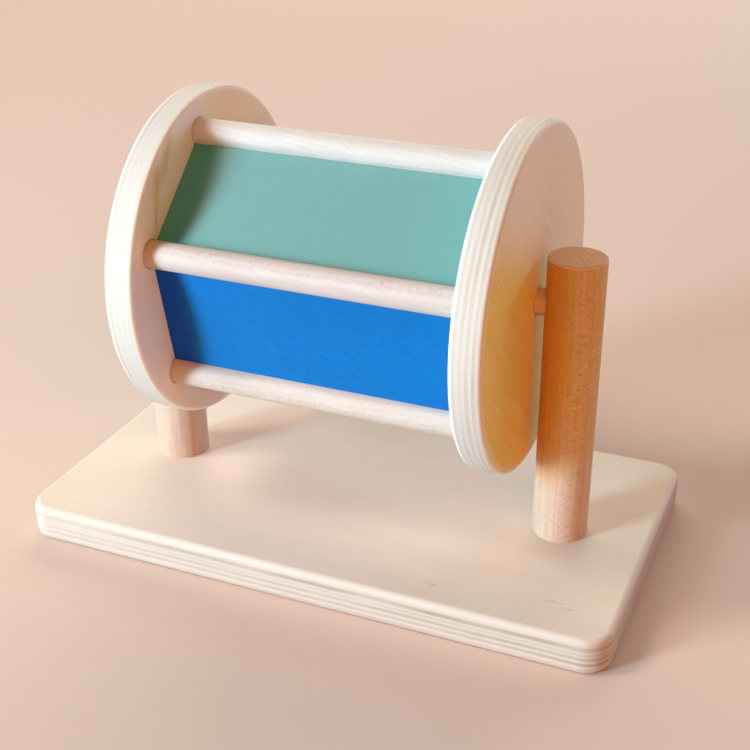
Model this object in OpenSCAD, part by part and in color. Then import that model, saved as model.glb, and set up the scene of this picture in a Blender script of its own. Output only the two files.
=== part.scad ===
// Spinning drum toy: a six-sided drum of rails and panels between two plywood discs. It turns on two
// short pins that are held by two posts on a base board. The axle lies along X, the front is -Y, and
// the origin is at the middle of the board's underside.

/* [Base board] */
// Depth of the board, across the axle
base_depth = 153; // [110:1:220]
// Thickness of the board
base_thickness = 17; // [15:0.5:30]
// Length of board past the outer side of each post
base_end_margin = 29; // [12:1:60]
// Radius of the board's corners, seen from above
base_corner_radius = 12; // [6:0.5:40]
// Rounding of the board's top and bottom edges
base_edge_round = 3; // [0.5:0.5:5]

/* [Posts] */
// Diameter of the two round posts
post_diameter = 25; // [20:0.5:36]
// Height of the posts above the axle's centre line
post_above_axle = 22; // [12:1:60]
// Rounding of each post's top edge
post_top_round = 1; // [0.5:0.5:4]
// Depth of the socket in the board that each post stands in
post_socket_depth = 8; // [4:0.5:10]
// Open gap between a disc's outer face and the post beside it
disc_post_gap = 3.5; // [1:0.5:12]

/* [Drum] */
// Diameter of the two end discs
disc_diameter = 150; // [120:1:200]
// Thickness of each end disc
disc_thickness = 13.5; // [12:0.5:24]
// Rounding of the discs' edges
disc_edge_round = 2; // [0.5:0.5:5]
// Clear length between the discs' inner faces
drum_inner_length = 138; // [80:1:260]
// Open height between the discs' rims and the top of the board
drum_base_gap = 35; // [10:1:80]

/* [Rails] */
// Diameter of the six round rails
rail_diameter = 12; // [10:0.5:18]
// Wood left between a rail's outer side and the disc's rim
rail_rim_margin = 8.5; // [6:0.5:20]
// Depth of the blind holes in the discs that hold the rail ends
rail_socket_depth = 8; // [4:0.5:10]
// Chamfer at the mouths of the holes in the discs
hole_chamfer = 0.4; // [0.1:0.1:0.8]
// Angle of the first rail, turned up from the front
first_rail_angle = 78.5; // [0:0.5:119.5]

/* [Panels] */
// Thickness of the six flat panels
panel_thickness = 3; // [2:0.5:4]
// Depth of the grooves in the rails that hold the panels
groove_depth = 3; // [1.5:0.5:3.5]

/* [Axle pins] */
// Diameter of the two axle pins
pin_diameter = 12; // [8:0.5:16]
// Length of each pin that is glued into its post
pin_in_post = 14; // [8:0.5:17]
// Length of each pin that the disc turns on
pin_in_disc = 9; // [5:0.5:10]
// Chamfer on the ends of the pins and rails
dowel_chamfer = 0.6; // [0.2:0.1:1.5]

/* [Screws] */
// Length of the wood screw that holds each post
screw_length = 45; // [30:1:60]
// Diameter of the screw's shank
screw_diameter = 4.5; // [3.5:0.5:6]
// Diameter of the screw's countersunk head
screw_head_diameter = 9; // [7:0.5:11]
// Length of the cross-shaped driver recess in the head
driver_recess_length = 5; // [3:0.5:6]
// Width of each arm of the driver recess
driver_recess_width = 1.1; // [0.8:0.1:1.6]
// Depth of the driver recess
driver_recess_depth = 1.8; // [1:0.1:2.5]
// Depth of the screw heads below the board's underside
screw_head_sunk = 0.5; // [0.3:0.1:2]

/* [Clearances] */
// Radial clearance of the pins in the discs, where the drum turns
running_clearance = 0.08; // [0.02:0.01:0.1]
// Clearance of glued dowels in their holes, and of panels in their grooves
glue_clearance = 0.05; // [0.02:0.01:0.15]
// Free depth between a dowel's end and the bottom of its hole
end_clearance = 0.5; // [0.2:0.1:0.8]
// Clearance round the screws in the board
screw_clearance = 0.1; // [0.05:0.05:0.3]

/* [Hidden] */
$fn = 96;

side_count = 6;
side_angle = 360 / side_count;
half_side_angle = side_angle / 2;

disc_radius = disc_diameter / 2;
axle_height = base_thickness + drum_base_gap + disc_radius;
disc_inner_x = drum_inner_length / 2;
disc_outer_x = disc_inner_x + disc_thickness;

post_radius = post_diameter / 2;
post_inner_x = disc_outer_x + disc_post_gap;
post_x = post_inner_x + post_radius;
post_foot_z = base_thickness - post_socket_depth;
post_top_z = axle_height + post_above_axle;
base_length = 2 * (post_x + post_radius + base_end_margin);

rail_radius = rail_diameter / 2;
rail_circle_radius = disc_radius - rail_rim_margin - rail_radius;
rail_length = drum_inner_length + 2 * (rail_socket_depth - end_clearance);
rail_to_rail = 2 * rail_circle_radius * sin(half_side_angle);
panel_face_radius = rail_circle_radius * cos(half_side_angle);
groove_floor_radius = rail_radius - groove_depth;
panel_width = rail_to_rail - 2 * (groove_floor_radius + glue_clearance);
panel_length = drum_inner_length - 2 * glue_clearance;

pin_radius = pin_diameter / 2;
pin_length = pin_in_disc + disc_post_gap + pin_in_post;
pin_bore_depth = pin_in_disc + end_clearance;
screw_radius = screw_diameter / 2;
screw_head_radius = screw_head_diameter / 2;
screw_head_height = screw_head_radius - screw_radius;
screw_tip_length = 2 * screw_diameter;
// Margin by which a cutting solid passes a face that it opens
cut_past = 1;

ply_colour = [0.93, 0.85, 0.72];
post_colour = [0.90, 0.72, 0.54];
beech_colour = [0.93, 0.79, 0.66];
green_colour = [0.48, 0.72, 0.66];
blue_colour = [0.08, 0.40, 0.80];
purple_colour = [0.45, 0.30, 0.58];
red_colour = [0.80, 0.22, 0.22];
orange_colour = [0.93, 0.52, 0.20];
yellow_colour = [0.96, 0.79, 0.30];
steel_colour = [0.75, 0.75, 0.78];

// Turns a solid that stands on +Z so that it points along +X, with its own X to the back
module along_axle() {
    rotate([90, 0, 90]) children();
}

// Places a piece of the drum at an angle turned up from the front, facing out along -Y
module on_drum(angle) {
    translate([0, 0, axle_height]) rotate([-angle, 0, 0]) children();
}

// Rectangle with round corners, centred on the origin
module round_rectangle(size, radius) {
    square([size.x - 2 * radius, size.y], center = true);
    square([size.x, size.y - 2 * radius], center = true);
    for (x = [-1, 1], y = [-1, 1])
        translate([x * (size.x / 2 - radius), y * (size.y / 2 - radius)]) circle(r = radius);
}

// Round slab with rounded edges, standing on the origin
module round_slab(radius, thickness, edge_round) {
    rotate_extrude() intersection() {
        translate([0, thickness / 2]) round_rectangle([2 * radius, thickness], edge_round);
        square([radius, thickness]);
    }
}

// Round bar with chamfered ends, standing on the origin
module dowel(radius, length) {
    chamfer = dowel_chamfer;
    rotate_extrude() polygon([
        [0, 0], [radius - chamfer, 0], [radius, chamfer],
        [radius, length - chamfer], [radius - chamfer, length], [0, length]
    ]);
}

// Cutting solid of a blind hole with a chamfered mouth: its bottom is at the origin, its mouth at z = depth
module blind_hole(radius, depth) {
    cone_height = hole_chamfer + cut_past;
    cylinder(r = radius, h = depth + cut_past);
    translate([0, 0, depth - hole_chamfer]) cylinder(r1 = radius, r2 = radius + cone_height, h = cone_height);
}

// The board before drilling: four round corners joined by two rounded bars
module board_blank() {
    corner_x = base_length / 2 - base_corner_radius;
    corner_y = base_depth / 2 - base_corner_radius;
    for (x = [-1, 1], y = [-1, 1])
        translate([x * corner_x, y * corner_y])
            round_slab(base_corner_radius, base_thickness, base_edge_round);
    translate([-corner_x, 0, base_thickness / 2]) along_axle() linear_extrude(2 * corner_x)
        round_rectangle([base_depth, base_thickness], base_edge_round);
    translate([0, corner_y, base_thickness / 2]) rotate([90, 0, 0]) linear_extrude(2 * corner_y)
        round_rectangle([base_length, base_thickness], base_edge_round);
}

// Clearance hole and countersink for a post screw, open at the underside
module screw_hole() {
    hole_radius = screw_radius + screw_clearance;
    sink_radius = screw_head_radius + screw_clearance;
    translate([0, 0, -cut_past]) cylinder(r = hole_radius, h = post_foot_z + 2 * cut_past);
    translate([0, 0, -cut_past]) cylinder(r = sink_radius, h = cut_past + screw_head_sunk);
    translate([0, 0, screw_head_sunk]) cylinder(r1 = sink_radius, r2 = hole_radius, h = screw_head_height);
}

module base_board() {
    color(ply_colour) difference() {
        board_blank();
        for (x = [-post_x, post_x]) translate([x, 0]) {
            translate([0, 0, post_foot_z])
                cylinder(r = post_radius + glue_clearance, h = post_socket_depth + cut_past);
            screw_hole();
        }
    }
}

// Post with its screw bore in the foot and its pin bore on the side towards the drum, on +X
module post() {
    bore_end_z = screw_head_sunk + screw_length + end_clearance;
    color(post_colour) difference() {
        rotate_extrude() translate([0, post_foot_z]) intersection() {
            translate([0, (post_top_z - post_foot_z) / 2])
                round_rectangle([post_diameter, post_top_z - post_foot_z], post_top_round);
            square([post_radius, post_top_z - post_foot_z]);
        }
        translate([0, 0, post_foot_z - cut_past])
            cylinder(r = screw_radius + glue_clearance, h = bore_end_z - post_foot_z + cut_past);
        translate([post_radius - pin_in_post - end_clearance, 0, axle_height]) along_axle()
            cylinder(r = pin_radius + glue_clearance, h = pin_in_post + end_clearance + cut_past);
    }
}

module left_post() {
    translate([-post_x, 0]) post();
}

module right_post() {
    mirror([1, 0, 0]) left_post();
}

// The pin runs from inside the post, across the gap, into the disc's bore
module left_axle_pin() {
    color(beech_colour) translate([-post_inner_x - pin_in_post, 0, axle_height]) along_axle()
        dowel(pin_radius, pin_length);
}

module right_axle_pin() {
    mirror([1, 0, 0]) left_axle_pin();
}

// Countersunk wood screw, head down and point up
module wood_screw() {
    head_z = screw_head_sunk;
    difference() {
        translate([0, 0, head_z]) rotate_extrude() polygon([
            [0, 0], [screw_head_radius, 0], [screw_radius, screw_head_height],
            [screw_radius, screw_length - screw_tip_length], [0, screw_length]
        ]);
        for (turn = [0, 90]) rotate(turn) translate([
            -driver_recess_length / 2, -driver_recess_width / 2, head_z - cut_past
        ]) cube([driver_recess_length, driver_recess_width, driver_recess_depth + cut_past]);
    }
}

module post_screws() {
    color(steel_colour) for (x = [-post_x, post_x]) translate([x, 0]) wood_screw();
}

// Disc with a blind bore outside for the axle pin and six blind holes inside for the rails
module left_disc() {
    color(ply_colour) difference() {
        translate([-disc_outer_x, 0, axle_height]) along_axle()
            round_slab(disc_radius, disc_thickness, disc_edge_round);
        translate([pin_bore_depth - disc_outer_x, 0, axle_height]) mirror([1, 0, 0]) along_axle()
            blind_hole(pin_radius + running_clearance, pin_bore_depth);
        for (i = [0 : side_count - 1]) on_drum(rail_angle(i))
            translate([-disc_inner_x - rail_socket_depth, -rail_circle_radius, 0]) along_axle()
                blind_hole(rail_radius + glue_clearance, rail_socket_depth);
    }
}

module right_disc() {
    mirror([1, 0, 0]) left_disc();
}

// Angle of rail i, counting down the front of the drum
function rail_angle(i) = first_rail_angle - i * side_angle;

// Sections of the two grooves that a rail has for the panels beside it. X points at the axle
module groove_sections() {
    for (side = [0, 1]) mirror([0, side]) rotate(90 - half_side_angle)
        translate([groove_floor_radius, -panel_thickness - glue_clearance])
            square([groove_depth + cut_past, panel_thickness + 2 * glue_clearance]);
}

// Chamfered dowel with both grooves milled along its whole length
module rail(i) {
    color(beech_colour) on_drum(rail_angle(i))
        translate([-rail_length / 2, -rail_circle_radius, 0]) along_axle() difference() {
            dowel(rail_radius, rail_length);
            translate([0, 0, -cut_past]) linear_extrude(rail_length + 2 * cut_past) groove_sections();
        }
}

// Panel between rail i and the next, with its outer face on the line between their centres
module panel(i, tint) {
    color(tint) on_drum(rail_angle(i) - half_side_angle)
        translate([-panel_length / 2, -panel_face_radius, -panel_width / 2])
            cube([panel_length, panel_thickness, panel_width]);
}

base_board();
left_post();
right_post();
left_axle_pin();
right_axle_pin();
post_screws();
left_disc();
right_disc();
rail(0);  // rail_1
rail(1);  // rail_2
rail(2);  // rail_3
rail(3);  // rail_4
rail(4);  // rail_5
rail(5);  // rail_6
panel(0, green_colour);  // green_panel
panel(1, blue_colour);  // blue_panel
panel(2, purple_colour);  // purple_panel
panel(3, red_colour);  // red_panel
panel(4, orange_colour);  // orange_panel
panel(5, yellow_colour);  // yellow_panel
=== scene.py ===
# %% [markdown]
# # A spinning drum toy
#
# The toy is a drum of round rails and painted panels between two plywood discs. It turns on two short
# pins, held by two posts on a plywood board. The pieces arrive finished and at their real size, so this
# lesson is about wood: how a few sums turn plain solids into beech, birch plywood and satin paint.
#
# The patterns are solid. The colour of a point comes from where it lies in the timber, so grain runs
# round a corner, end grain shows where a piece is cut across, and plies show where an edge is rounded.

# %% Load the frame
import math

import bmesh
import bpy
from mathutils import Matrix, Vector


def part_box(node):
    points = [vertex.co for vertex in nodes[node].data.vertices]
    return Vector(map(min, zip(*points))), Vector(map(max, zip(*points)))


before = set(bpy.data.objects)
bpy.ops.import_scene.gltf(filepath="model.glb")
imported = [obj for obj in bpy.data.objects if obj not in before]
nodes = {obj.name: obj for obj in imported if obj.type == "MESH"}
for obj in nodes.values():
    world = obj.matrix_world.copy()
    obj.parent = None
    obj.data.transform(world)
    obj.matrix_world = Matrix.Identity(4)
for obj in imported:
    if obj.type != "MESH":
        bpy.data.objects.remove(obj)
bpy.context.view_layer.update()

# %% [markdown]
# The sums below need a few measures of the toy, in mm. They are read from the pieces, so that the
# patterns stay on them if the toy is made to another size.


# %% Measures of the toy
def box_in_mm(node):
    low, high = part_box(node)
    return low * 1000, high * 1000


def middle_of(node):
    low, high = box_in_mm(node)
    return (low + high) / 2


board_top_z = box_in_mm("base_board")[1].z
axle_z = middle_of("left_axle_pin").z
disc_inner_x = box_in_mm("right_disc")[0].x
disc_thickness = box_in_mm("right_disc")[1].x - disc_inner_x
rail_count = len([name for name in nodes if name.startswith("rail_")])
print("in mm: board top", round(board_top_z, 2), "axle", round(axle_z, 2),
      "discs from", round(disc_inner_x, 2), "and", round(disc_thickness, 2), "thick; rails:", rail_count)

# %% [markdown]
# Colours are easiest to judge as they look on a screen, from 0 to 255, but a shader wants them linear.
# This helper converts them, so that every colour below is written as it looks.


# %% Colours as they look on a screen
def screen_colour(red, green, blue):
    """Linear colour, with full alpha, of a colour as a screen shows it."""
    def linear(value):
        share = value / 255
        return share / 12.92 if share <= 0.04045 else ((share + 0.055) / 1.055) ** 2.4
    return (linear(red), linear(green), linear(blue), 1.0)


print("a screen's mid grey is", round(screen_colour(128, 128, 128)[0], 3), "in linear light")

# %% [markdown]
# A shader is hard to read as a list of nodes and links. A wire is one output of a node, wrapped so that
# it takes part in ordinary sums: each operator adds one Math node.


# %% Shader sums written as Python
class Wire:
    """One output of a shader node, for use in sums."""

    def __init__(self, sheet, socket):
        self.sheet = sheet
        self.socket = socket

    def math(self, operation, *terms):
        return self.sheet.node("ShaderNodeMath", {"operation": operation}, dict(enumerate(terms)))

    def __add__(self, other):
        return self.math("ADD", self, other)

    __radd__ = __add__

    def __sub__(self, other):
        return self.math("SUBTRACT", self, other)

    def __rsub__(self, other):
        return self.math("SUBTRACT", other, self)

    def __mul__(self, other):
        return self.math("MULTIPLY", self, other)

    __rmul__ = __mul__

    def __mod__(self, other):
        return self.math("FLOORED_MODULO", self, other)

    def __abs__(self):
        return self.math("ABSOLUTE", self)

    def floor(self):
        return self.math("FLOOR", self)

    def root(self):
        return self.math("SQRT", self)

    def cosine(self):
        return self.math("COSINE", self)

    def turn_from(self, other):
        """Turn in radians of a point, from its places across (other) and up (self)."""
        return self.math("ARCTAN2", self, other)

    def most(self, other):
        return self.math("MAXIMUM", self, other)

    def rise(self, low, high):
        """0 below low, 1 above high, and a smooth rise between them."""
        return self.sheet.node("ShaderNodeMapRange", {"interpolation_type": "SMOOTHSTEP"},
                               {"Value": self, "From Min": low, "From Max": high})

    def near(self, place, half_width):
        """1 at a place, falling smoothly to 0 at half_width to either side of it."""
        return 1 - abs(self - place).rise(0, half_width)


print("sums ready:", [name for name in vars(Wire) if name.startswith("__r")])

# %% [markdown]
# A sheet is a node tree while it is being drawn up. One of its methods, node, adds every kind of node. The
# rest are short recipes made with it: a mix of colours, the place of a point in mm, and cloudy noise that
# is stretched by a different length each way, which is what turns clouds into wood fibres.


# %% Sheets of nodes
class Sheet:
    """A node tree while it is being drawn up."""

    def __init__(self, tree):
        self.tree = tree

    def node(self, kind, settings=None, inputs=None, output=0):
        """Adds a node, sets it up, fills its inputs with values or wires, and returns one output."""
        node = self.tree.nodes.new(kind)
        for name, value in (settings or {}).items():
            if name == "stops":
                self.set_stops(node.color_ramp, value)
            else:
                setattr(node, name, value)
        for key, value in (inputs or {}).items():
            self.fill(node.inputs[key], value)
        return Wire(self, node.outputs[output])

    def set_stops(self, ramp, stops):
        """Sets a ramp's stops from pairs of a place, 0 to 1, and a tone, 0 to 1."""
        ramp.elements.remove(ramp.elements[-1])
        for number, (place, tone) in enumerate(stops):
            stop = ramp.elements.new(place) if number else ramp.elements[0]
            stop.position = place
            stop.color = (tone, tone, tone, 1.0)

    def fill(self, socket, value):
        if isinstance(value, Wire):
            self.tree.links.new(value.socket, socket)
        else:
            socket.default_value = value

    def mix(self, first, second, share):
        """Colour that goes from the first to the second as share goes from 0 to 1."""
        return self.node("ShaderNodeMix", {"data_type": "RGBA"}, {0: share, 6: first, 7: second}, output=2)

    def tint(self, colour, tone, share):
        """Colour multiplied by a tone, by the given share."""
        return self.node("ShaderNodeMix", {"data_type": "RGBA", "blend_type": "MULTIPLY"},
                         {0: share, 6: colour, 7: tone}, output=2)

    def choose(self, first, second, share):
        """Number that goes from the first to the second as share goes from 0 to 1."""
        return self.node("ShaderNodeMix", {"data_type": "FLOAT"}, {0: share, 2: first, 3: second})

    def split(self, vector):
        parts = self.node("ShaderNodeSeparateXYZ", inputs={0: vector})
        return [Wire(self, output) for output in parts.socket.node.outputs]

    def place(self):
        """Place of the point on its piece, in mm, as three wires."""
        metres = self.node("ShaderNodeTexCoord", output="Object")
        millimetres = self.node("ShaderNodeVectorMath", {"operation": "SCALE"}, {0: metres, "Scale": 1000.0})
        return self.split(millimetres)

    def facing(self):
        """Outward direction of the surface on its piece, as three wires."""
        return self.split(self.node("ShaderNodeTexCoord", output="Normal"))

    def noise(self, lengths, places, detail=2.0):
        """Cloudy noise from 0 to 1, stretched to the given lengths in mm along three places."""
        stretched = {i: place * (1 / length) for i, (place, length) in enumerate(zip(places, lengths))}
        vector = self.node("ShaderNodeCombineXYZ", inputs=stretched)
        return self.node("ShaderNodeTexNoise", inputs={"Vector": vector, "Scale": 1.0, "Detail": detail})


print("recipes ready:", [name for name in vars(Sheet) if not name.startswith("_")])

# %% [markdown]
# A finish is a material and its sheet. The gloss of bare, sanded wood is faint, so its specular level is
# low. The relief of a finish is how deep its bumps are, in metres: a few hundredths of a millimetre.


# %% Finishes
class Finish(Sheet):
    """A material while it is being made."""

    def __init__(self, name, specular):
        self.material = bpy.data.materials.new(name)
        self.material.use_nodes = True
        super().__init__(self.material.node_tree)
        self.shader = self.tree.nodes["Principled BSDF"]
        self.shader.inputs["Specular IOR Level"].default_value = specular

    def apply(self, colour, roughness, height=None, relief=0.0):
        """Feeds the shader and returns the material."""
        self.fill(self.shader.inputs["Base Color"], colour)
        self.fill(self.shader.inputs["Roughness"], roughness)
        if height is not None:
            bump = self.node("ShaderNodeBump", inputs={"Distance": relief, "Height": height})
            self.fill(self.shader.inputs["Normal"], bump)
        return self.material


wood_specular = 0.3
print("specular level of bare wood:", wood_specular)

# %% [markdown]
# Beech is pale and pinkish, with faint growth rings, and with rays: thin sheets of cells that run from
# the middle of the tree outwards. Where a dowel's side faces the middle of the tree the rays are cut
# across and show as short dashes. A quarter turn on they are cut lengthwise and show as a ladder of
# flecks. A picture of wood wrapped round the dowel would get neither the turn nor the cut end right. One
# solid noise does both: short along the grain, long outwards, thin round the ring. Where it is high there
# is a dark ray, and where it is low a pale one. The rings bend round a pith some way outside the dowel, as
# they do in a plank, and sway a little. Each ends in darker late wood.


# %% Beech
pith_distance = 70.0
ring_width = 2.8
ring_sway = 5.0
dark_ray_levels = (0.57, 0.66)
pale_ray_levels = (0.34, 0.43)
dowel_relief = 0.00004


def ring_radius(outward, around):
    """Distance of a point from the pith, in mm."""
    from_pith = outward + pith_distance
    return (from_pith * from_pith + around * around).root()


def beech(finish, along, outward, around, tones, rays, strengths, ladder=1.0):
    """Colour, roughness and height of beech.

    The places are in mm: along the grain, outwards from the pith, and around the ring. Rays are a ray's
    lengths these three ways. The strengths are of the streaks, the dark rays and the pale rays, and
    ladder is the share of the pale rays at each height.
    """
    pale, warm, fleck, bright = tones
    streak_share, dark_share, pale_share = strengths
    sway = finish.noise((90, 30, 30), (along, outward, around), detail=1) * ring_sway
    radius = ring_radius(outward, around) + sway
    ring = (radius * (1 / ring_width)) % 1.0
    late_wood = ring.rise(0.2, 0.85) * (1 - ring.rise(0.9, 1.0))
    streak = finish.noise((80, 1.6, 1.6), (along, radius, around), detail=2)
    fibre = finish.noise((7, 0.25, 0.25), (along, radius, around), detail=2)
    ray = finish.noise(rays, (along, radius, around), detail=1)
    dark_ray = ray.rise(*dark_ray_levels)
    pale_ray = (1 - ray.rise(*pale_ray_levels)) * ladder
    colour = finish.mix(pale, warm, late_wood * 0.2 + streak.rise(0.3, 0.7) * streak_share)
    colour = finish.mix(colour, fleck, dark_ray * dark_share + fibre.rise(0.5, 0.8) * 0.06)
    colour = finish.mix(colour, bright, pale_ray * pale_share)
    roughness = 0.48 + fibre * 0.12 - pale_ray * 0.05
    height = 0.6 * fibre + 0.3 * streak - 0.3 * dark_ray
    return colour, roughness, height


print("beech: a ring every", ring_width, "mm, bent round a pith", pith_distance, "mm away")

# %% [markdown]
# Cut across, on the posts' tops, beech drinks more light and looks darker. Its pores show as dots and its
# rings as pale arcs. A cap with its own material would do, but then the rings wouldn't meet the grain
# of the side. So the same sums run on, and the shader knows the cut end by the surface facing along the
# grain. Between the two is a thin rounded rim, painted pale as a painted highlight.


# %% Cut end of a post
end_pale = screen_colour(232, 190, 152)
end_dark = screen_colour(213, 167, 126)
rim_highlight = screen_colour(246, 222, 202)


def with_cut_end(finish, colour, roughness, height, outward, around, z):
    """The same colour, roughness and height, with the cut end where the surface faces up or down."""
    tilt = abs(finish.facing()[2])
    cut_end = tilt.rise(0.5, 0.95)
    arc = (ring_radius(outward, around) * (1 / ring_width)) % 1.0
    arc_patch = finish.noise((9, 9, 9), (outward, around, z), detail=1).rise(0.35, 0.7)
    pore = finish.noise((0.35, 0.35, 3), (outward, around, z), detail=2)
    end_colour = finish.mix(end_dark, end_pale, arc.near(0.5, 0.3) * arc_patch * 0.8 + pore * 0.3)
    colour = finish.mix(colour, end_colour, cut_end)
    # Painted highlight: the rounded rim between the side and the cut end is painted pale.
    colour = finish.mix(colour, rim_highlight, tilt.near(0.5, 0.45) * 0.7)
    return colour, roughness + cut_end * 0.15, height + pore * cut_end


print("an arc on the cut end every", ring_width, "mm")

# %% [markdown]
# The posts are a warmer beech than the rails, pinkish at the foot. Higher up they are tinted golden as
# painted shade, where the discs shade them; the right one has more of it, and a darker painted shade down
# its left side. The ladder of flecks is strongest at mid height. Heights below are in mm above the table.


# %% Finish of the posts
post_tones = (screen_colour(225, 199, 181), screen_colour(207, 176, 151),
              screen_colour(170, 122, 91), screen_colour(237, 217, 202))
post_rays = (1.0, 3.2, 0.34)
post_strengths = (0.55, 0.26, 0.6)
shade_honey_tint = (1.0, 0.85, 0.26, 1.0)
shade_honey_start, shade_honey_full = 40.0, 80.0
left_shade_tint = (0.98, 0.66, 0.3, 1.0)
left_shade_turn = math.radians(22)
left_shade_start, left_shade_full = 36.0, 60.0
ladder_height, ladder_reach = 95.0, 50.0
cooler = (0.92, 0.90, 0.94)


def tinted(tones, tint):
    """The same tones, each multiplied by a tint."""
    return tuple(tuple(channel * share for channel, share in zip(tone, tint)) + (1.0,) for tone in tones)


def post_finish(node, turn, tones, shade_honey, painted_shade):
    """Beech of a post. Shade honey is how strongly its painted golden shade shows, and painted shade how
    dark the painted shade down its left side is.
    """
    finish = Finish(node.replace("_", " ") + " beech", wood_specular)
    x, y, z = finish.place()
    x = x - middle_of(node).x
    outward = x * math.cos(turn) + y * math.sin(turn)
    around = x * math.sin(turn) - y * math.cos(turn)
    ladder = 0.3 + z.near(ladder_height, ladder_reach) * 0.7
    colour, roughness, height = beech(finish, z, outward, around, tones, post_rays, post_strengths, ladder)
    cloud = finish.noise((60, 9, 9), (z, outward, around), detail=2)
    # Painted shade: golden higher up, where the discs shade the post, less on its lit right side.
    golden_shade_share = z.rise(shade_honey_start, shade_honey_full) * (0.7 + cloud.rise(0.3, 0.7) * 0.3) * shade_honey
    across = x * math.cos(left_shade_turn) + y * math.sin(left_shade_turn) + cloud * 4 - 2
    colour = finish.tint(colour, shade_honey_tint, golden_shade_share * (1 - across.rise(2.0, 11.0) * 0.3))
    # Painted shade: darker down the left side, which the disc shades.
    painted_left_shade = (1 - across.rise(-11.0, 1.0)) * z.rise(left_shade_start, left_shade_full) * painted_shade
    colour = finish.tint(colour, left_shade_tint, painted_left_shade)
    parts = with_cut_end(finish, colour, roughness, height, outward, around, z)
    return finish.apply(*parts, dowel_relief)


post_materials = {
    "left_post": post_finish("left_post", math.radians(105), tinted(post_tones, cooler), shade_honey=0.5, painted_shade=0.0),
    "right_post": post_finish("right_post", math.radians(36), post_tones, shade_honey=1.0, painted_shade=0.9),
}
print("posts:", list(post_materials))

# %% [markdown]
# The rails and pins lie along the axle. No two dowels come from the same place in a tree, so each rail
# gets its own turn of the rings, its own patch of the noise and a slightly warmer or cooler tint. The
# grain also leaves a dowel at a small slant, which the dashes of its rays show. Beside the left disc the
# rails are tinted golden as painted shade, where the disc shades their ends, the topmost one least.


# %% Finish of the rails and pins
rail_tones = (screen_colour(221, 214, 207), screen_colour(206, 194, 183),
              screen_colour(176, 138, 116), screen_colour(232, 227, 224))
rail_tints = ((0.94, 0.99, 1.09), (0.89, 0.87, 0.94), (0.93, 0.90, 0.91), (0.95, 0.93, 0.94),
              (0.91, 0.92, 0.97), (0.96, 0.95, 0.97))
pin_tones = (screen_colour(228, 194, 152), screen_colour(210, 170, 126),
             screen_colour(156, 104, 66), screen_colour(236, 212, 174))
rail_rays = (1.5, 7, 0.24)
rail_strengths = (0.45, 0.2, 0.1)
rail_end_shade = (0.25, 1.0, 1.0, 1.0, 1.0, 1.0)
first_turn, turn_between_rails = 145, 67
timber_between_rails = 310.0
pin_turn = 0.6
pin_timber = 50.0
grain_slant = 0.13
shaded_end_tint = (1.06, 0.92, 0.70, 1.0)
shaded_end_full, shaded_end_gone = 2.0, 11.0


def axle_dowel_finish(node, turn, tones, shift, end_shade):
    """Beech of a dowel along the axle. Shift is how far along the timber, in mm, it was cut."""
    finish = Finish(node.replace("_", " ") + " beech", wood_specular)
    x, y, z = finish.place()
    centre = middle_of(node)
    y = y - centre.y
    z = z - centre.z
    outward = y * math.cos(turn) + z * math.sin(turn)
    around = y * math.sin(turn) - z * math.cos(turn) + x * grain_slant
    colour, roughness, height = beech(finish, x + shift, outward, around, tones, rail_rays, rail_strengths)
    from_left_disc = x + disc_inner_x
    # Painted shade: the rails' ends beside the left disc are tinted golden, where the disc shades them.
    colour = finish.tint(colour, shaded_end_tint, (1 - from_left_disc.rise(shaded_end_full, shaded_end_gone)) * end_shade)
    return finish.apply(colour, roughness, height, dowel_relief)


dowel_materials = {}
for number in range(rail_count):
    node = f"rail_{number + 1}"
    turn = math.radians(first_turn + turn_between_rails * number)
    dowel_materials[node] = axle_dowel_finish(node, turn, tinted(rail_tones, rail_tints[number]),
                                              shift=timber_between_rails * number, end_shade=rail_end_shade[number])
for node in ("left_axle_pin", "right_axle_pin"):
    dowel_materials[node] = axle_dowel_finish(node, pin_turn, pin_tones, shift=pin_timber, end_shade=0.0)
print("dowels:", list(dowel_materials))

# %% [markdown]
# Plywood is a stack of thin sheets, each laid across the one below. On a flat face one sheet shows, with
# a calm figure. On an edge all of them show as stripes, and a rounded edge widens the outer ones. The
# sheets could be modelled one by one, but they are glued and sanded into one piece, so a solid pattern
# is truer. Some sheets look darker than others on the edge, and no two are alike, so a ramp over the
# depth of the stack holds how dark each one is.


# %% Dark sheets of the edge
def sheet_stops(thickness, bands):
    """Stops of a ramp over the stack, from each dark sheet's middle, half width in mm and darkness."""
    stops = [(0.0, 0.0)]
    for middle, half, darkness in bands:
        stops.append(((middle - half) / thickness, 0.0))
        stops.append(((middle - half * 0.3) / thickness, darkness))
        stops.append(((middle + half * 0.3) / thickness, darkness))
        stops.append(((middle + half) / thickness, 0.0))
    return stops


def dark_sheets(finish, depth, thickness, along, across, bands):
    """Darkness of the sheets from 0 to 1, with softer and harder stretches along the edge."""
    band = finish.node("ShaderNodeValToRGB", {"stops": sheet_stops(thickness, bands)},
                       {0: depth * (1 / thickness)})
    patchy = finish.noise((40, 40, 3.0), (along, across, depth), detail=2).rise(0.3, 0.7)
    return band * (0.4 + patchy * 0.6)


print("a dark sheet in the middle of 10 mm:", sheet_stops(10.0, ((5.0, 1.0, 0.5),)))

# %% [markdown]
# The pattern asks how deep a point lies in the stack, finds its sheet, and turns the grain of every
# second one. Each sheet is also moved along and aside, because it was peeled from another part of the
# log. Sanding leaves the rounded corners smoother and a little paler, and more pale is painted on them as
# a painted highlight. The shader knows them by their slanting surface.


# %% Birch plywood
sheet_thickness = 1.6
back_sheet = 1.2
next_along, next_aside = 61.0, 23.0
edge_stain = screen_colour(184, 142, 122)
plywood_relief = 0.00003


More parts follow.
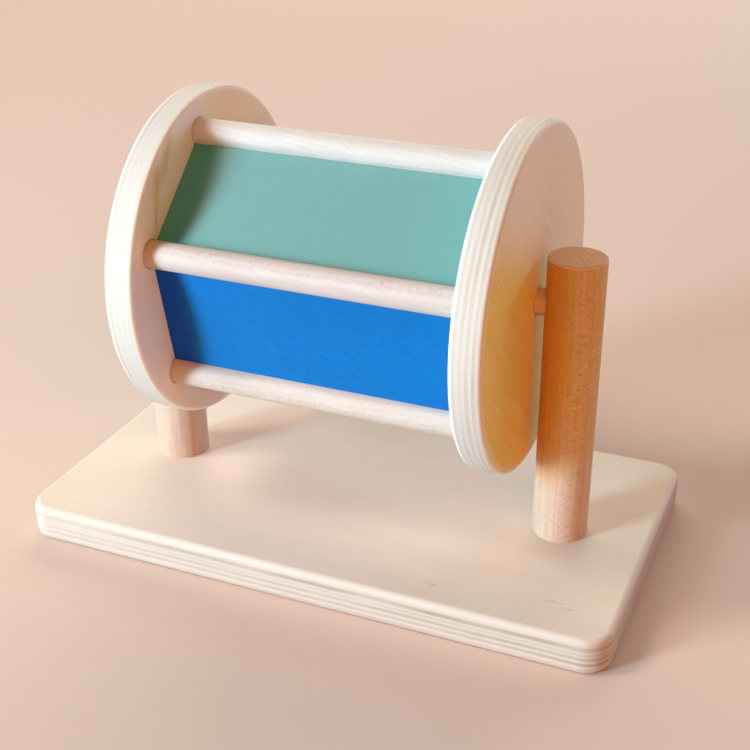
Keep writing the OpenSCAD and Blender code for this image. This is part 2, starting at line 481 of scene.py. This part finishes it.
def plywood(finish, depth, tilt, thickness, along, across, bands, tones, shares):
    """Colour, roughness and height of plywood.

    Depth in the stack and places on its face are in mm. Tilt is 1 on a face and 0 on an edge. The tones
    are three of the face (pale, warm, lines), three of the edge (pale, warm, dark) and the corner's, which
    is partly sanding and partly a painted highlight. The shares are how strongly the fine lines, the dark
    sheets and the pale corner show.
    """
    line_share, band_share, sanded_and_lit_corner_share = shares
    face_pale, face_warm, face_line, edge_pale, edge_warm, edge_dark, sanded_and_lit_corner = tones
    sheet = (depth * (1 / sheet_thickness)).floor()
    crossed = sheet % 2.0
    grain = finish.choose(along, across, crossed) + sheet * next_along
    side = finish.choose(across, along, crossed) + sheet * next_aside
    cloud = finish.noise((120, 30, 60), (grain, side, depth), detail=2)
    flame = finish.noise((70, 3.2, 30), (grain, side, depth), detail=2)
    line = finish.noise((34, 0.8, 9), (grain, side, depth), detail=1)
    fibre = finish.noise((8, 0.3, 0.3), (grain, side, depth), detail=3)
    warmth = cloud.rise(0.3, 0.7) * 0.3 + flame.rise(0.35, 0.7) * 0.12 + fibre.rise(0.5, 0.8) * 0.08
    face = finish.mix(face_pale, face_warm, warmth)
    face = finish.mix(face, face_line, line.rise(0.6, 0.7) * line_share)
    inside = depth.rise(sheet_thickness * 0.9, sheet_thickness * 1.1)
    inside = inside * (1 - depth.rise(thickness - back_sheet, thickness - back_sheet + 0.2))
    darkness = dark_sheets(finish, depth, thickness, along, across, bands) * band_share
    stain = finish.noise((16, 0.9, 0.6), (grain, side, depth), detail=1).rise(0.6, 0.7)
    edge = finish.mix(edge_pale, edge_warm, fibre.rise(0.4, 0.75) * 0.4)
    edge = finish.mix(edge, edge_stain, stain * 0.14)
    edge = finish.mix(edge, edge_dark, darkness * 0.8)
    colour = finish.mix(face, edge, inside)
    # Partly painted highlight: the rounded corners are painted pale, besides being sanded smoother.
    corner = tilt.near(0.55, 0.5)
    colour = finish.mix(colour, sanded_and_lit_corner, corner * sanded_and_lit_corner_share)
    roughness = 0.5 + fibre * 0.12 + inside * 0.08 - corner * 0.06
    height = fibre * 0.5 + line * 0.2 - darkness * inside * 0.8
    return colour, roughness, height


print("a sheet is", sheet_thickness, "mm, so the board is a stack of", round(board_top_z / sheet_thickness))

# %% [markdown]
# The board's grain runs along its length. Its dark sheets are counted down from the top, as they show on
# its front edge, each with its middle, half width and darkness. They are fainter at the left end. A few
# small grey marks from the mill lie near its front right corner.


# %% Finish of the board
board_tones = (screen_colour(228, 218, 207), screen_colour(216, 203, 186), screen_colour(235, 229, 221),
               screen_colour(214, 205, 197), screen_colour(202, 188, 172), screen_colour(156, 136, 114),
               screen_colour(212, 206, 203))
board_bands = ((4.3, 1.5, 0.7), (6.9, 0.9, 0.3), (9.1, 1.1, 0.65), (11.8, 1.1, 0.65), (14.4, 0.9, 0.35))
mill_marks = ((112, -55, 7, 1.1), (119, -58, 5, 0.9), (60, -63, 5, 0.9))
mill_grey = screen_colour(150, 136, 126)


def mark(x, y, middle_x, middle_y, half_length, half_width):
    """A small mark, long in x."""
    return x.near(middle_x, half_length) * y.near(middle_y, half_width)


def board_finish():
    finish = Finish("board plywood", wood_specular)
    x, y, z = finish.place()
    wander = finish.noise((80, 80, 10), (x, y, z), detail=1)
    depth = (board_top_z - z + wander * 0.9 - 0.45).most(0.02)
    tilt = abs(finish.facing()[2])
    shares = (0.12, 0.55 + x.rise(-130.0, 60.0) * 0.65, 0.5)
    colour, roughness, height = plywood(finish, depth, tilt, board_top_z, x, y + wander * 12, board_bands,
                                        board_tones, shares)
    ragged = finish.noise((2.2, 0.5, 1), (x, y, z), detail=2)
    marks = sum(mark(x, y, *place) for place in mill_marks)
    marks = marks * ragged.rise(0.4, 0.6) * z.rise(board_top_z - 0.5, board_top_z - 0.2)
    colour = finish.mix(colour, mill_grey, marks * 0.6)
    return finish.apply(colour, roughness, height, plywood_relief)


board_material = board_finish()
print("board:", len(board_bands), "dark sheets and", len(mill_marks), "mill marks")

# %% [markdown]
# Round every drilled hole in a disc the knife of the drill leaves a thin brown line, burnt a little, and
# glue darkens it. Six rings could be drawn, one for each rail. But the holes are alike, so the shader
# folds the circle into one sixth, like paper, and draws one ring there.


# %% Brown lines round the holes
burnt_colour = screen_colour(138, 84, 48)
rail_radius = (box_in_mm("rail_1")[1].y - box_in_mm("rail_1")[0].y) / 2
pin_radius = (box_in_mm("left_axle_pin")[1].y - box_in_mm("left_axle_pin")[0].y) / 2
first_rail = middle_of("rail_1") - Vector((0, 0, axle_z))
rail_circle_radius = first_rail.length
first_rail_turn = math.atan2(first_rail.z, first_rail.y)


def hole_line(y, up):
    """Brown line round the rail holes: distance to the nearest rail, by folding the turn to one rail."""
    step = 2 * math.pi / rail_count
    turn = up.turn_from(y) - (first_rail_turn - step / 2)
    folded = (turn % step) - step / 2
    squared = y * y + up * up
    far = squared + rail_circle_radius ** 2 - squared.root() * folded.cosine() * (2 * rail_circle_radius)
    return far.most(0.0).root().near(rail_radius + 0.1, 0.45)


print("in mm: holes", round(rail_circle_radius, 1), "from the axle, with a radius of", round(rail_radius, 2))

# %% [markdown]
# The left disc has yellowish mineral streaks inside. Each is given by its start and end along the grain,
# its place across it, its slope and its half width. The right disc has a golden patch of painted shade
# outside, below the post's top, where the post shades it.


# %% Streaks and the golden painted shade
streak_colour = screen_colour(220, 190, 128)
golden_shade_tint = (0.98, 0.70, 0.02, 1.0)
left_streaks = ((16.0, 48.0, -61.0, 0.0, 5.0),
                (-10.0, 27.0, -56.0, -0.29, 2.2),
                (6.0, 30.0, -60.7, -0.29, 5.5))


def streak(along, across, start, end, side, slope, half_width):
    """A thin streak in the face, from start to end along the grain."""
    drift = across - (along - start) * slope
    return drift.near(side, half_width) * along.rise(start, start + 12) * (1 - along.rise(end - 8, end))


def painted_golden_shade(finish, y, up, along, across):
    """Golden painted shade, where the post shades the outer face: deepest near the pin, with soft ragged
    sides.
    """
    figure = finish.noise((60, 5, 60), (along, across, up), detail=2).rise(0.3, 0.7)
    top_edge = up + y * 0.4
    patch = (1 - top_edge.rise(0.0, 36.0)) * (1 - y.rise(-2.0, 34.0) * 0.75) * (0.8 + figure * 0.2)
    return 0.14 + patch * 0.72


print("streaks on the left disc:", len(left_streaks))

# %% [markdown]
# The discs are cut from the same plywood as the board, turned. Each has its own grain direction, read off
# the fine lines of its face, and its own dark sheets, counted outwards. The two faces that look left are
# a slightly deeper veneer. The rims are paler, partly where sanding has rounded them and partly as a
# painted highlight: a pale band on each face next to the rounded edge stands for the light it catches.


# %% Finish of the discs
disc_tones = (screen_colour(247, 240, 227), screen_colour(234, 222, 204), screen_colour(254, 252, 247),
              screen_colour(215, 214, 212), screen_colour(207, 200, 188), screen_colour(174, 154, 126),
              screen_colour(242, 241, 241))
left_disc_bands = ((2.4, 0.9, 0.1), (5.2, 1.0, 0.14), (7.9, 1.0, 0.18), (10.8, 0.8, 0.45))
right_disc_bands = ((2.4, 1.1, 0.25), (5.2, 1.2, 0.4), (7.9, 1.3, 0.7), (10.6, 1.2, 0.85))
calm_veneer = (0.84, 0.81, 0.76, 1.0)
worn_and_lit_rim = disc_tones[-1]
disc_radius = box_in_mm("right_disc")[1].y


def disc_finish(node, grain_turn, bands, streaks, painted_shade):
    """Plywood of a disc. Painted shade says whether its outer face has the golden painted shade."""
    finish = Finish(node.replace("_", " ") + " plywood", wood_specular)
    x, y, z = finish.place()
    up = z - axle_z
    along = y * math.cos(grain_turn) + up * math.sin(grain_turn)
    across = y * math.sin(grain_turn) - up * math.cos(grain_turn)
    wander = finish.noise((60, 60, 60), (x, y, z), detail=1)
    in_stack = abs(x) - disc_inner_x
    depth = (in_stack + wander * 0.4 - 0.2).most(0.02)
    tilt = abs(finish.facing()[0])
    shares = (0.85 if painted_shade else 0.4, 1.0, 0.35)
    colour, roughness, height = plywood(finish, depth, tilt, disc_thickness, along, across + wander * 8,
                                        bands, disc_tones, shares)
    inner_face = 1 - in_stack.rise(0.2, 0.6)
    outer_face = in_stack.rise(disc_thickness - 0.6, disc_thickness - 0.2)
    if painted_shade:
        # Painted shade: a golden patch on the right disc's outer face, where the post shades it.
        colour = finish.tint(colour, golden_shade_tint, painted_golden_shade(finish, y, up, along, across) * outer_face)
    colour = finish.tint(colour, calm_veneer, inner_face if painted_shade else outer_face)
    for place in streaks:
        ragged = finish.noise((9, 0.8, 1), (along, across, x), detail=2)
        share = streak(along, across, *place) * inner_face * ragged.rise(0.2, 0.5)
        colour = finish.mix(colour, streak_colour, share * 0.65)
    from_axle = (y * y + up * up).root()
    # Partly painted highlight: a pale band next to the rim, besides the sanding wear.
    rim_wear_and_highlight = from_axle.rise(disc_radius - 4.5, disc_radius - 1.5) * tilt
    colour = finish.mix(colour, worn_and_lit_rim, rim_wear_and_highlight * 0.45)
    pin_line = from_axle.near(pin_radius + 0.1, 0.8) * outer_face
    lines = hole_line(y, up) * inner_face + pin_line
    colour = finish.mix(colour, burnt_colour, lines * 0.8)
    return finish.apply(colour, roughness, height, plywood_relief)


disc_materials = {
    "left_disc": disc_finish("left_disc", math.radians(63), left_disc_bands, left_streaks, painted_shade=False),
    "right_disc": disc_finish("right_disc", math.radians(135), right_disc_bands, (), painted_shade=True),
}
print("discs:", list(disc_materials), "with a radius of", round(disc_radius, 1), "mm")

# %% [markdown]
# The panels are thin board under satin paint. One flat colour would look like plastic: on the real thing
# a roller leaves a very fine peel and a soft mottle, and the colour drifts a little over a hand's width.
# The blue is the livelier of the two that show, and the others carry on round the rainbow. Beside the
# left disc the paint is deepened as painted shade, where the disc shades the panels' ends.


# %% Satin paint
paint_specular = 0.15
paint_relief = 0.00002
paint_shade_full, paint_shade_gone = 7.0, 17.0


def paint_finish(name, paint, liveliness):
    """Satin paint. Liveliness is how strongly its drift, mottle and peel show."""
    finish = Finish(name, paint_specular)
    place = finish.place()
    drift = finish.noise((30, 30, 30), place, detail=2)
    peel = finish.noise((0.9, 0.9, 0.9), place, detail=2)
    mottle = finish.noise((4.0, 1.5, 1.5), place, detail=2)
    blotches = drift.rise(0.3, 0.7) * 0.4 + mottle.rise(0.35, 0.65) * 0.7 + peel.rise(0.35, 0.65) * 0.6
    deeper = tuple(channel * 0.8 for channel in paint[:3]) + (1.0,)
    colour = finish.mix(paint, deeper, blotches * liveliness)
    paint_shade_tint = tuple(channel / max(paint[:3]) for channel in paint[:3]) + (1.0,)
    from_left_disc = place[0] + disc_inner_x
    # Painted shade: deeper paint beside the left disc, where it shades the panels.
    colour = finish.tint(colour, paint_shade_tint, (1 - from_left_disc.rise(paint_shade_full, paint_shade_gone)) * 0.75)
    return finish.apply(colour, 0.42 + peel * 0.08, peel, paint_relief)


paints = {
    "green_panel": (screen_colour(110, 163, 164), 0.16),
    "blue_panel": (screen_colour(0, 118, 200), 0.55),
    "purple_panel": (screen_colour(112, 82, 150), 0.2),
    "red_panel": (screen_colour(190, 62, 60), 0.2),
    "orange_panel": (screen_colour(222, 128, 62), 0.15),
    "yellow_panel": (screen_colour(232, 192, 84), 0.12),
}
paint_materials = {}
for node, (paint, liveliness) in paints.items():
    paint_materials[node] = paint_finish(node.replace("_panel", " paint"), paint, liveliness)
print("paints:", list(paint_materials))

# %% [markdown]
# Two wood screws hold the posts from below. Zinc plating is bright but slightly cloudy, and the driver
# scuffs it.


# %% Zinc plated steel
bright_zinc = screen_colour(205, 205, 208)
dull_zinc = screen_colour(170, 168, 165)
metal_specular = 0.5
scuff_relief = 0.00001


def steel_finish():
    finish = Finish("zinc plated steel", metal_specular)
    scuff = finish.noise((0.6, 0.6, 0.6), finish.place(), detail=2)
    colour = finish.mix(bright_zinc, dull_zinc, scuff)
    finish.shader.inputs["Metallic"].default_value = 1.0
    return finish.apply(colour, 0.32 + scuff * 0.15, scuff, scuff_relief)


steel_material = steel_finish()
print("screws:", steel_material.name)

# %% [markdown]
# Every piece came with one plain material in its slot. The pieces keep their shapes and places, and only
# what is in the slots changes, so the finishes turn with the drum.

# %% Give each piece its finish
finishes = {**post_materials, **disc_materials, **dowel_materials, **paint_materials,
            "base_board": board_material, "post_screws": steel_material}
for name, piece in nodes.items():
    for slot in piece.material_slots:
        slot.material = finishes[name]
print("dressed:", len(finishes), "of", len(nodes))

# %% [markdown]
# The floor is one large, plain, pale sheet, flat and dull. Its tone is warm, because what it throws back
# lights the toy from below.


# %% Floor
floor_colour = screen_colour(220, 200, 190)
floor_half_width = 1.6
floor_specular = 0.2
floor_roughness = 0.7


def make_floor():
    mesh = bpy.data.meshes.new("floor")
    shape = bmesh.new()
    bmesh.ops.create_grid(shape, x_segments=1, y_segments=1, size=floor_half_width)
    shape.to_mesh(mesh)
    shape.free()
    floor = bpy.data.objects.new("floor", mesh)
    bpy.context.collection.objects.link(floor)
    finish = Finish("pale floor", floor_specular)
    mesh.materials.append(finish.apply(floor_colour, floor_roughness))
    return floor


floor = make_floor()
print("floor is", round(floor.dimensions.x, 2), "m wide")

# %% [markdown]
# The light is plain and soft, as in a bright studio. A tall, narrow window light stands close by to the
# front left, and gives the discs and posts their soft shadows. A second, higher one at the side adds a
# fainter set of shadows beside them. A wide light fills in from above, two behind the toy lift the edges
# of the discs and the board, and a warm fill at the front right turns the shaded side golden. Each is
# given by its turn and height in degrees, its distance and size in metres, and its strength in red,
# green and blue.


# %% Light
def direction(azimuth, elevation):
    """Unit vector towards a light or camera. Azimuth 0 is the front, and positive is to the right."""
    turn, rise = math.radians(azimuth), math.radians(elevation)
    return Vector((math.sin(turn) * math.cos(rise), -math.cos(turn) * math.cos(rise), math.sin(rise)))


toy_middle = Vector((0.0, 0.0, 0.1))


def area_light(name, azimuth, elevation, distance, size, strength):
    """Area light aimed at the toy. A strength of 1 lights a surface that faces it as it is coloured."""
    lamp = bpy.data.lights.new(name, "AREA")
    lamp.shape = "RECTANGLE"
    lamp.size, lamp.size_y = size
    brightest = max(strength)
    lamp.energy = brightest * (math.pi * distance) ** 2
    lamp.color = [channel / brightest for channel in strength]
    light = bpy.data.objects.new(name, lamp)
    towards = direction(azimuth, elevation)
    light.location = toy_middle + towards * distance
    light.rotation_mode = "QUATERNION"
    light.rotation_quaternion = towards.to_track_quat("Z", "Y")
    light.visible_camera = False
    bpy.context.collection.objects.link(light)


area_light("window", -38, 11, 2.0, (0.40, 0.96), (0.80, 1.15, 1.28))
area_light("side window", -59, 45, 2.0, (0.42, 0.70), (0.46, 0.375, 0.325))
area_light("overhead", 0, 88, 3.0, (3.6, 3.6), (0.105, 0.16, 0.127))
area_light("back", 200, 33, 3.0, (2.9, 1.25), (0.595, 0.505, 0.415))
area_light("back right", 150, 14, 3.0, (1.2, 0.8), (0.145, 0.235, 0.32))
area_light("warm fill", 42, 27, 3.0, (2.0, 2.4), (0.405, 0.115, 0.002))

# %% [markdown]
# What the camera sees beyond the floor is a plain pale backdrop. It is kept apart from the room's own dim
# glow, which would leave the backdrop dark, and shows in gloss and glass too.


# %% Room
world = bpy.data.worlds.new("room")
world.use_nodes = True
room = Sheet(world.node_tree)
path = {name: room.node("ShaderNodeLightPath", output=name)
        for name in ("Is Camera Ray", "Is Glossy Ray", "Is Transmission Ray")}
seen = path["Is Camera Ray"].most(path["Is Glossy Ray"]).most(path["Is Transmission Ray"])
glow = (0.02, 0.007, 0.001, 1.0)
backdrop = screen_colour(214, 192, 178)
room.fill(world.node_tree.nodes["Background"].inputs["Color"], room.mix(glow, backdrop, seen))
bpy.context.scene.world = world
print("backdrop in linear light:", [round(channel, 2) for channel in backdrop[:3]])

# %% [markdown]
# The camera looks at the toy from the front, a little to the right and from above. Its small shift stands
# for a picture that was cropped off centre.


# %% Camera
camera_data = bpy.data.cameras.new("camera")
camera_data.sensor_width = 36.0
camera_data.lens = 61.0
camera_data.shift_x = -0.0273
camera_data.shift_y = 0.0233
camera = bpy.data.objects.new("camera", camera_data)
camera_target = Vector((0.0176, 0.0, 0.0705))
camera_distance = 0.583
camera_azimuth = 22.3
camera_elevation = 27.5
camera_towards = direction(camera_azimuth, camera_elevation)
camera.location = camera_target + camera_towards * camera_distance
camera.rotation_mode = "QUATERNION"
camera.rotation_quaternion = camera_towards.to_track_quat("Z", "Y")
bpy.context.collection.objects.link(camera)
bpy.context.scene.camera = camera
bpy.context.scene.view_settings.view_transform = "Standard"
print("camera at", [round(c, 3) for c in camera.location])

# %% [markdown]
